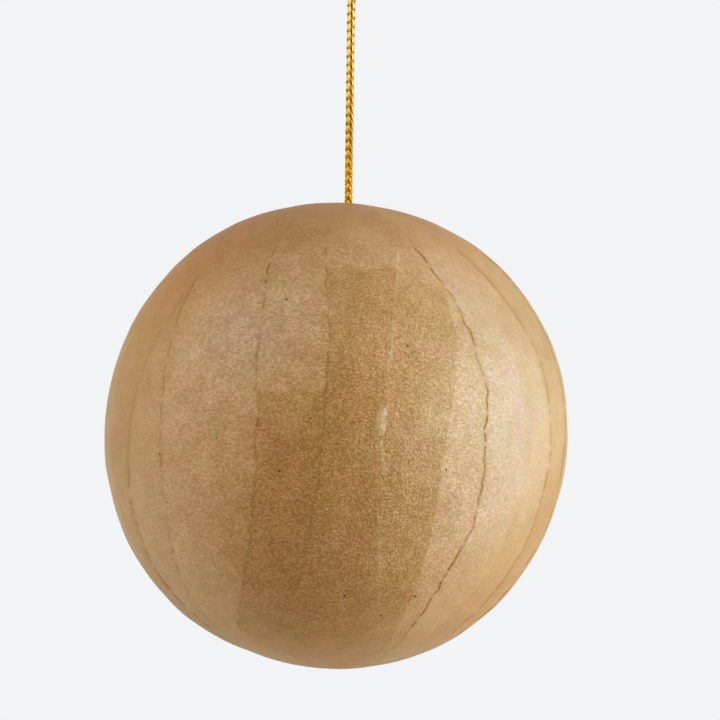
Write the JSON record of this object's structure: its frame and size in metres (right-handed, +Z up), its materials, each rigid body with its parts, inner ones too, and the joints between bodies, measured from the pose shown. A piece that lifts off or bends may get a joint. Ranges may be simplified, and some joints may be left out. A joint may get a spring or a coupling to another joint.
{
  "type": "paper mache ball ornament",
  "caption": "Hollow ball of pasted brown kraft paper strips, hung on a loop of braided gold cord that is knotted inside.",
  "frame": {"origin": "hanging point: the underside of the cord's crown, where a hook bears", "axes": "+Z up along the taut cord, -Y towards the front, +X to the right of the front"},
  "size_m": [0.0757, 0.0757, 0.1138],
  "materials": {
    "kraft_paper": "matte brown kraft paper with pasted laps",
    "gold_cord": "braided metallic gold thread"
  },
  "bodies": {
    "root": {"ball_shell": "kraft_paper", "hanging_cord": "gold_cord", "cord_knot": "gold_cord"}
  },
  "joints": []
}
